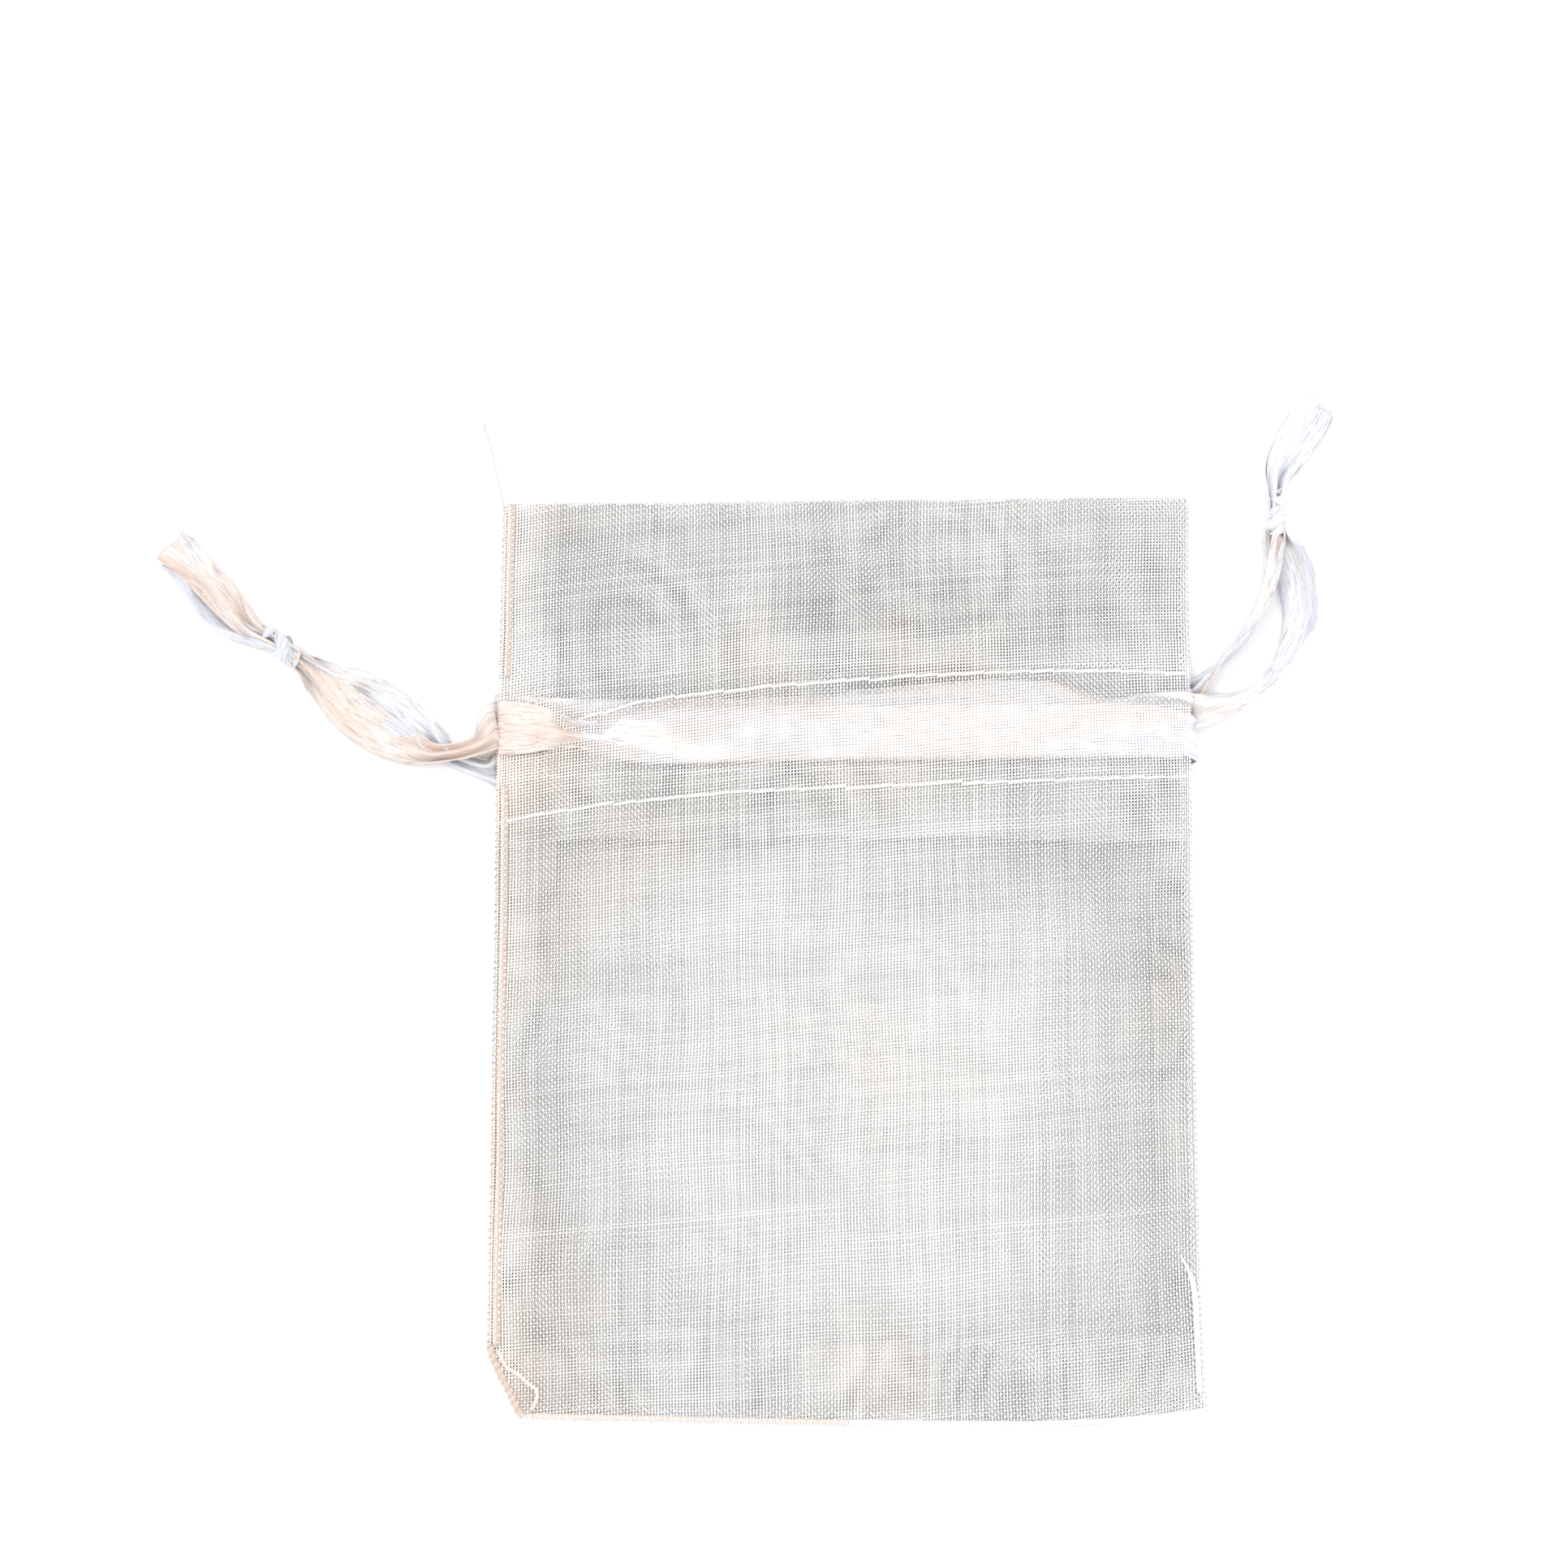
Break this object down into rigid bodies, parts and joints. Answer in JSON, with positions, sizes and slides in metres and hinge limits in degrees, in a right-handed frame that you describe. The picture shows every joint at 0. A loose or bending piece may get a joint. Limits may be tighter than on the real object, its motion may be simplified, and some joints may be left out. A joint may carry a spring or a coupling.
{
  "type": "drawstring gift pouch",
  "caption": "Small flat pouch of sheer white organza with a deep hem, a stitched channel and a satin ribbon drawstring knotted at each side.",
  "frame": {"origin": "under the middle of the pouch, on the surface it lies on", "axes": "+Y towards the mouth, +X to the right as seen from the front panel, +Z out of the front panel"},
  "size_m": [0.1312, 0.112, 0.0086],
  "materials": {
    "organza": "sheer plain-woven organza, one thread every 0.33 mm, soft sheen",
    "hem_organza": "the same sheer organza as a second layer",
    "folded_organza": "the same organza folded in and pressed",
    "satin_ribbon": "white satin ribbon, fine lengthwise streaks, soft gloss",
    "sewing_thread": "white twisted sewing thread",
    "overlock_thread": "pale tan overlock thread, matt"
  },
  "bodies": {
    "pouch": {"front_panel": "organza", "back_panel": "organza", "front_hem_facing": "hem_organza", "back_hem_facing": "hem_organza", "left_side_seam": "overlock_thread", "right_side_seam": "sewing_thread", "bottom_seam": "sewing_thread", "left_seam_allowance": "folded_organza", "right_seam_allowance": "folded_organza", "bottom_seam_allowance": "folded_organza", "front_upper_stitching": "sewing_thread", "front_lower_stitching": "sewing_thread", "back_upper_stitching": "sewing_thread", "back_lower_stitching": "sewing_thread", "seam_thread_end": "overlock_thread"},
    "left_drawstring": {"left_ribbon_loop": "satin_ribbon", "left_ribbon_front_strand": "satin_ribbon", "left_ribbon_back_strand": "satin_ribbon", "left_knot": "satin_ribbon", "left_tail_front": "satin_ribbon", "left_tail_back": "satin_ribbon"},
    "right_drawstring": {"right_ribbon_loop": "satin_ribbon", "right_ribbon_front_strand": "satin_ribbon", "right_ribbon_back_strand": "satin_ribbon", "right_knot": "satin_ribbon", "right_tail_front": "satin_ribbon", "right_tail_back": "satin_ribbon"}
  },
  "joints": [
    {"name": "left_drawstring_pull", "type": "slide", "parent": "pouch", "child": "left_drawstring", "axis": [-1, 0, 0], "range_m": [0, 0.03], "deforming": ["front_panel", "back_panel", "front_hem_facing", "back_hem_facing", "left_side_seam", "right_side_seam", "left_seam_allowance", "right_seam_allowance", "bottom_seam_allowance", "front_upper_stitching", "front_lower_stitching", "back_upper_stitching", "back_lower_stitching", "seam_thread_end"]},
    {"name": "right_drawstring_pull", "type": "slide", "parent": "pouch", "child": "right_drawstring", "axis": [1, 0, 0], "range_m": [0, 0.03], "deforming": ["front_panel", "back_panel", "front_hem_facing", "back_hem_facing", "left_side_seam", "right_side_seam", "left_seam_allowance", "right_seam_allowance", "bottom_seam_allowance", "front_upper_stitching", "front_lower_stitching", "back_upper_stitching", "back_lower_stitching", "seam_thread_end"]}
  ]
}
